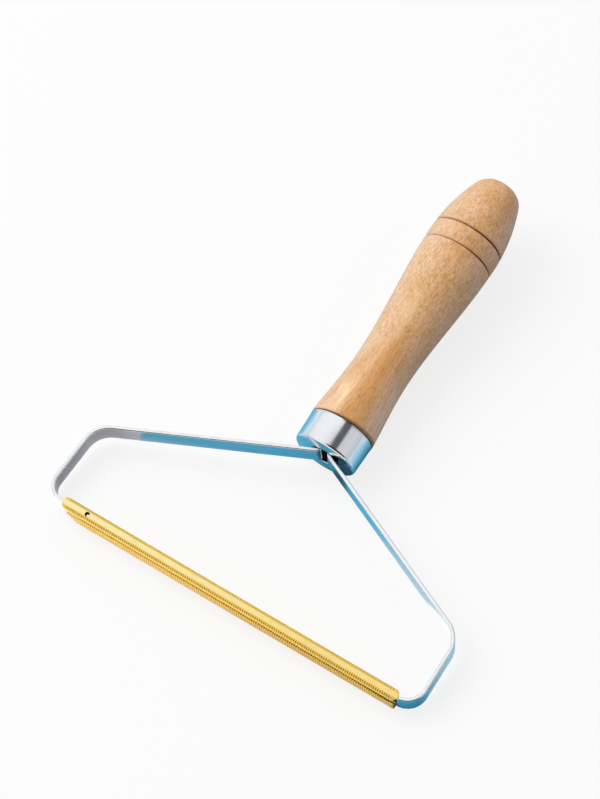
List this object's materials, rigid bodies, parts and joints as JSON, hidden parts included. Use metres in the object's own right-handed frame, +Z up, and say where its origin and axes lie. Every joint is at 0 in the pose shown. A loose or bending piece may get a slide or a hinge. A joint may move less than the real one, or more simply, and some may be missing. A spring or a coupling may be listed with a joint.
{
  "type": "pet hair and lint scraper",
  "caption": "Hand scraper for pet hair: turned wooden handle, steel ferrule, bent flat-steel frame and a long toothed brass head fixed along its front bar.",
  "frame": {"origin": "on the surface that the tool lies on, under the middle of its bounding box", "axes": "+X along the head to the right, +Y from the head to the butt of the handle, +Z up from the surface"},
  "size_m": [0.1372, 0.1686, 0.0321],
  "materials": {
    "hardwood": "sanded, thin satin lacquer",
    "ferrule_steel": "polished, nickel plated",
    "frame_steel": "polished strip, nickel plated",
    "brass": "rolled and polished, fine cut teeth",
    "resin": "cast dark epoxy, glimpsed in the ferrule's hole"
  },
  "bodies": {
    "root": {"wooden_handle": "hardwood", "ferrule": "ferrule_steel", "steel_frame": "frame_steel", "brass_head": "brass", "tang_resin_plug": "resin"}
  },
  "joints": []
}
